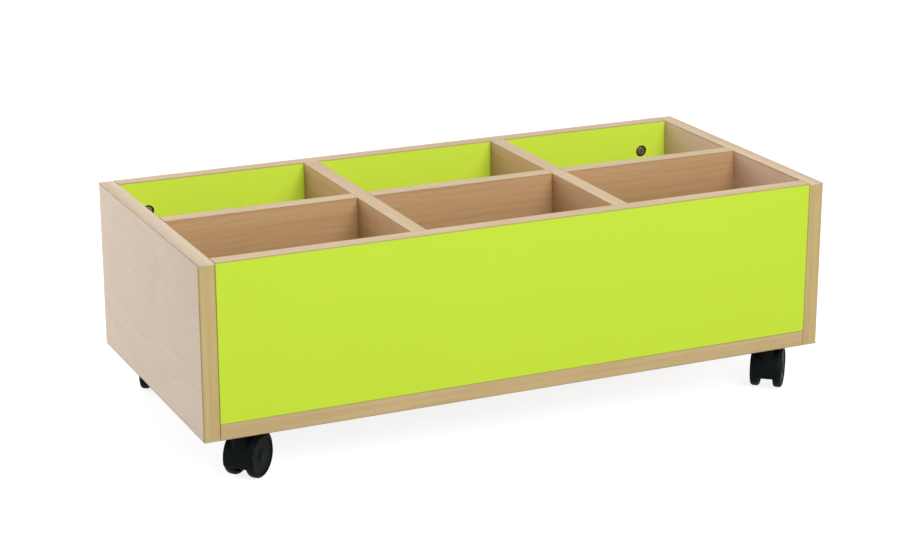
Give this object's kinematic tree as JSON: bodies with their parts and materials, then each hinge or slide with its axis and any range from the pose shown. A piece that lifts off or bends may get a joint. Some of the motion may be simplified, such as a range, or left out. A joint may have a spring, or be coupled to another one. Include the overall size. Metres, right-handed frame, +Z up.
{
  "type": "picture book browser bin",
  "caption": "Low open-topped wooden box on four swivel casters, divided into compartments for picture books, with coloured long panels.",
  "frame": {"origin": "on the floor, under the middle of the box", "axes": "+X along the length, to the right seen from the front; +Y to the rear, so the front panel faces -Y; +Z up"},
  "size_m": [0.77, 0.3783, 0.261],
  "materials": {
    "beech_board": "beech-patterned melamine, satin, fine grain along the board",
    "lime_board": "plain lime green melamine, satin",
    "beech_band": "beech-patterned edge band with rounded arrises",
    "cam_metal": "dark die-cast zinc",
    "steel": "zinc-plated",
    "dowel_wood": "bare beech",
    "black_metal": "black, semi-matt",
    "white_plastic": "natural acetal",
    "black_nylon": "moulded black nylon, low sheen",
    "black_nylon_wheel": "moulded black nylon, scuffed tread"
  },
  "bodies": {
    "bin": {"left_end_panel": "beech_board", "right_end_panel": "beech_board", "bottom_board": "beech_board", "long_divider": "beech_board", "cross_divider_left": "beech_board", "cross_divider_right": "beech_board", "front_panel": "lime_board", "rear_panel": "lime_board", "left_end_bands": "beech_band", "right_end_bands": "beech_band", "bottom_board_bands": "beech_band", "front_panel_band": "beech_band", "rear_panel_band": "beech_band", "long_divider_bands": "beech_band", "cross_divider_left_band": "beech_band", "cross_divider_right_band": "beech_band", "cam_housings": "cam_metal", "cam_bolts": "steel", "dowels": "dowel_wood", "assembly_screws": "steel", "caster_screws": "steel", "caster_front_left_plate": "black_metal", "caster_front_left_kingpin": "steel", "caster_front_left_washer": "white_plastic", "caster_front_right_plate": "black_metal", "caster_front_right_kingpin": "steel", "caster_front_right_washer": "white_plastic", "caster_rear_left_plate": "black_metal", "caster_rear_left_kingpin": "steel", "caster_rear_left_washer": "white_plastic", "caster_rear_right_plate": "black_metal", "caster_rear_right_kingpin": "steel", "caster_rear_right_washer": "white_plastic"},
    "front_left_hood": {"caster_front_left_hood": "black_nylon", "caster_front_left_axle": "steel"},
    "front_left_wheel_left": {"caster_front_left_wheel_left": "black_nylon_wheel"},
    "front_left_wheel_right": {"caster_front_left_wheel_right": "black_nylon_wheel"},
    "front_right_hood": {"caster_front_right_hood": "black_nylon", "caster_front_right_axle": "steel"},
    "front_right_wheel_left": {"caster_front_right_wheel_left": "black_nylon_wheel"},
    "front_right_wheel_right": {"caster_front_right_wheel_right": "black_nylon_wheel"},
    "rear_left_hood": {"caster_rear_left_hood": "black_nylon", "caster_rear_left_axle": "steel"},
    "rear_left_wheel_left": {"caster_rear_left_wheel_left": "black_nylon_wheel"},
    "rear_left_wheel_right": {"caster_rear_left_wheel_right": "black_nylon_wheel"},
    "rear_right_hood": {"caster_rear_right_hood": "black_nylon", "caster_rear_right_axle": "steel"},
    "rear_right_wheel_left": {"caster_rear_right_wheel_left": "black_nylon_wheel"},
    "rear_right_wheel_right": {"caster_rear_right_wheel_right": "black_nylon_wheel"}
  },
  "joints": [
    {"name": "front_left_swivel", "type": "hinge", "parent": "bin", "child": "front_left_hood", "pos_m": [-0.335, -0.151, 0.048], "axis": [0, 0, 1], "continuous": true},
    {"name": "front_left_wheel_left_spin", "type": "hinge", "parent": "front_left_hood", "child": "front_left_wheel_left", "pos_m": [-0.32217, -0.13985, 0.025], "axis": [-0.6561, 0.7547, 0], "continuous": true},
    {"name": "front_left_wheel_right_spin", "type": "hinge", "parent": "front_left_hood", "child": "front_left_wheel_right", "pos_m": [-0.32217, -0.13985, 0.025], "axis": [-0.6561, 0.7547, 0], "continuous": true},
    {"name": "front_right_swivel", "type": "hinge", "parent": "bin", "child": "front_right_hood", "pos_m": [0.335, -0.151, 0.048], "axis": [0, 0, 1], "continuous": true},
    {"name": "front_right_wheel_left_spin", "type": "hinge", "parent": "front_right_hood", "child": "front_right_wheel_left", "pos_m": [0.3457, -0.13779, 0.025], "axis": [-0.7771, 0.6293, 0], "continuous": true},
    {"name": "front_right_wheel_right_spin", "type": "hinge", "parent": "front_right_hood", "child": "front_right_wheel_right", "pos_m": [0.3457, -0.13779, 0.025], "axis": [-0.7771, 0.6293, 0], "continuous": true},
    {"name": "rear_left_swivel", "type": "hinge", "parent": "bin", "child": "rear_left_hood", "pos_m": [-0.335, 0.151, 0.048], "axis": [0, 0, 1], "continuous": true},
    {"name": "rear_left_wheel_left_spin", "type": "hinge", "parent": "rear_left_hood", "child": "rear_left_wheel_left", "pos_m": [-0.32755, 0.16628, 0.025], "axis": [-0.8988, 0.4384, 0], "continuous": true},
    {"name": "rear_left_wheel_right_spin", "type": "hinge", "parent": "rear_left_hood", "child": "rear_left_wheel_right", "pos_m": [-0.32755, 0.16628, 0.025], "axis": [-0.8988, 0.4384, 0], "continuous": true},
    {"name": "rear_right_swivel", "type": "hinge", "parent": "bin", "child": "rear_right_hood", "pos_m": [0.335, 0.151, 0.048], "axis": [0, 0, 1], "continuous": true},
    {"name": "rear_right_wheel_left_spin", "type": "hinge", "parent": "rear_right_hood", "child": "rear_right_wheel_left", "pos_m": [0.34451, 0.16509, 0.025], "axis": [-0.829, 0.5592, 0], "continuous": true},
    {"name": "rear_right_wheel_right_spin", "type": "hinge", "parent": "rear_right_hood", "child": "rear_right_wheel_right", "pos_m": [0.34451, 0.16509, 0.025], "axis": [-0.829, 0.5592, 0], "continuous": true}
  ]
}
